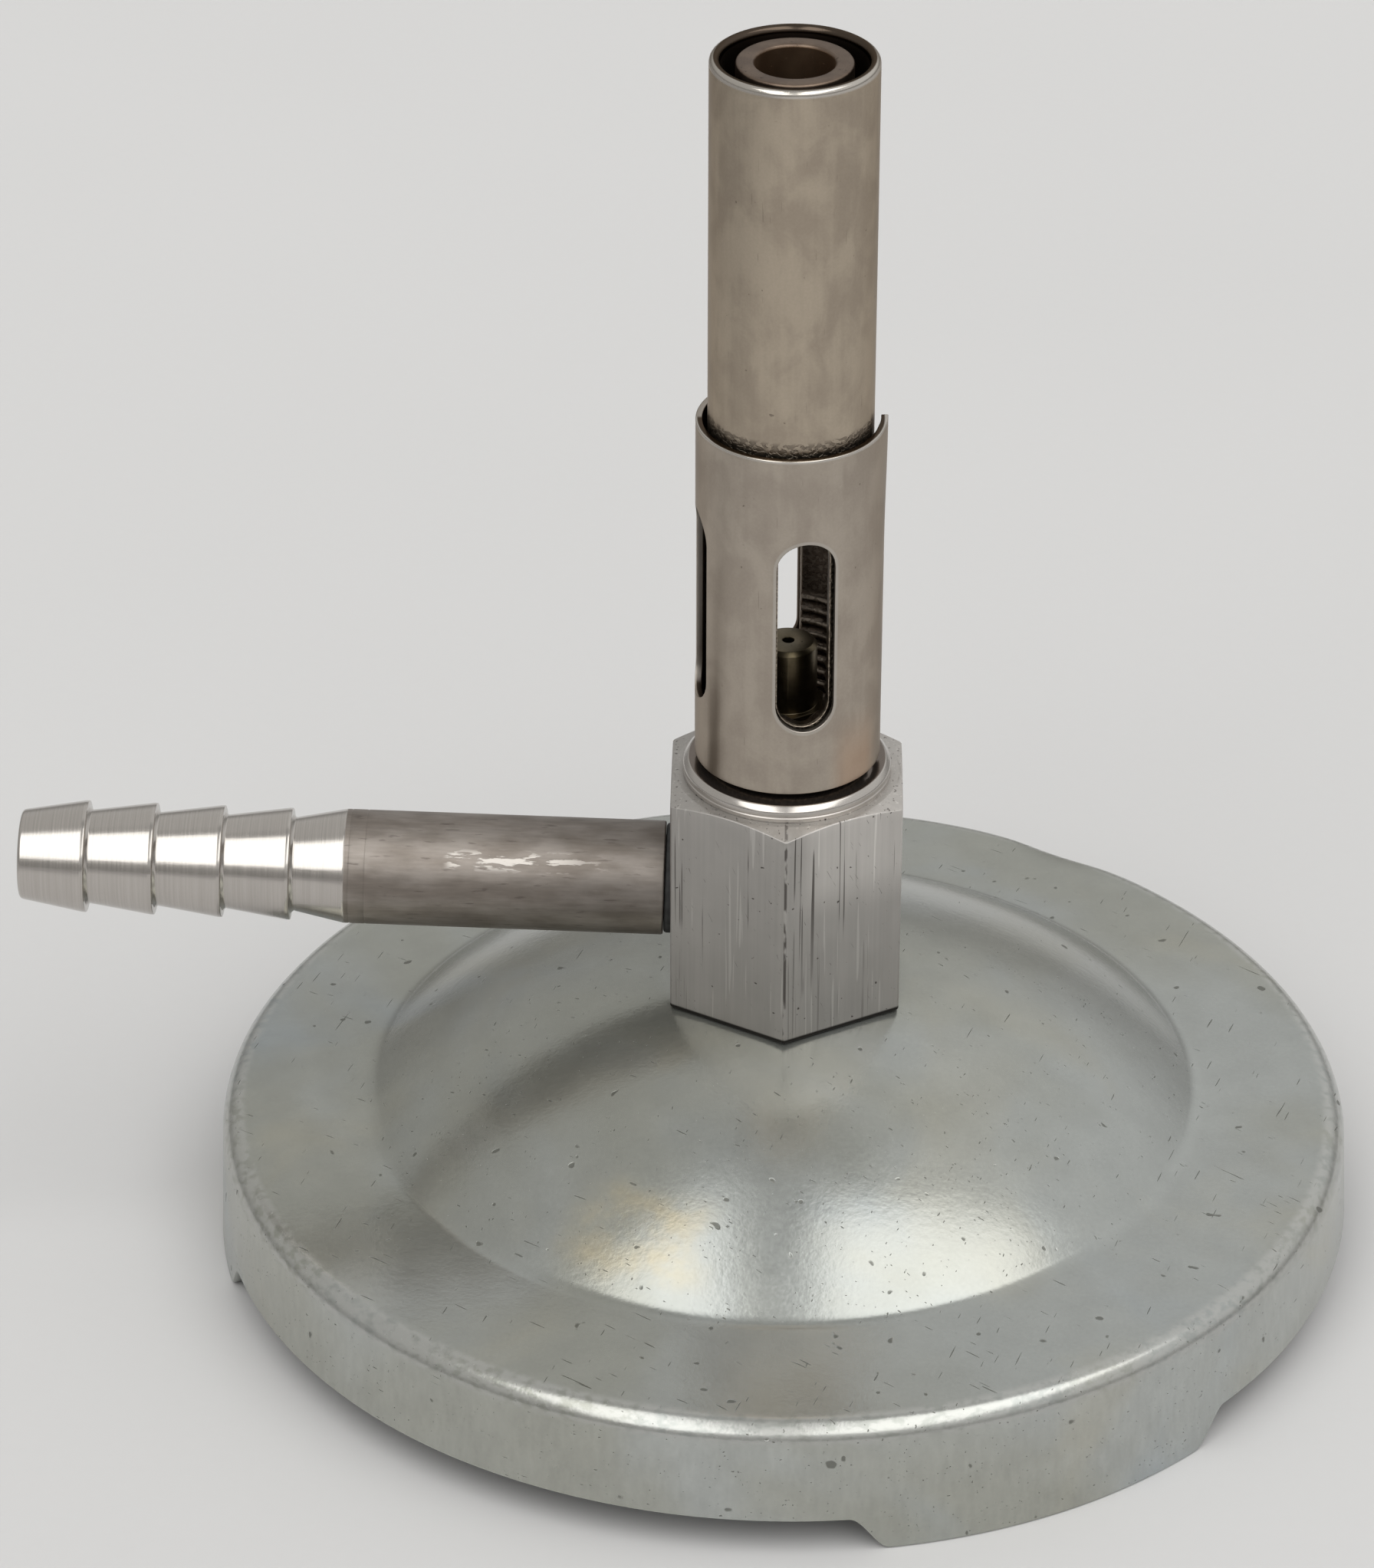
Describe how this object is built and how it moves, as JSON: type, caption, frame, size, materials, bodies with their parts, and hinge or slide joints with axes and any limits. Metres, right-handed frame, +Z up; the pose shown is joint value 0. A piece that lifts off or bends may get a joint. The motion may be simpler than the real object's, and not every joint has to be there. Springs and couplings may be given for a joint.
{
  "type": "bunsen burner",
  "caption": "Small bench bunsen burner: pressed round foot, hexagonal body, barbed hose nozzle, slotted air sleeve turning on a short barrel.",
  "frame": {"origin": "on the table, at the middle of the rectangle that the foot and the hose nozzle cover together; the barrel's axis stands 8.25 mm to its right", "axes": "+Z up along the barrel, -Y the front, -X the side that the hose nozzle points to"},
  "size_m": [0.1175, 0.101, 0.113],
  "materials": {
    "zinc_plate": "satin",
    "fastener_steel": "satin",
    "drawn_aluminium": "satin",
    "turned_aluminium": "satin",
    "seal_rubber": "matte",
    "jet_brass": "satin",
    "seal_fibre": "matte",
    "nickel_plate": "satin",
    "sleeve_nickel": "satin",
    "tinted_brass": "satin"
  },
  "bodies": {
    "stand": {"foot": "zinc_plate", "base_screw": "fastener_steel", "base_washer": "fastener_steel", "base_lock_washer": "fastener_steel", "burner_body": "drawn_aluminium", "inlet_nozzle": "turned_aluminium", "nozzle_seal": "seal_rubber", "gas_jet": "jet_brass", "jet_washer": "seal_fibre", "barrel": "nickel_plate", "flame_stabiliser": "tinted_brass"},
    "air_sleeve": {"air_sleeve": "sleeve_nickel"}
  },
  "joints": [
    {"name": "air_sleeve_turn", "type": "hinge", "parent": "stand", "child": "air_sleeve", "pos_m": [0.00825, 0, 0.0642], "axis": [0, 0, 1], "continuous": true}
  ]
}
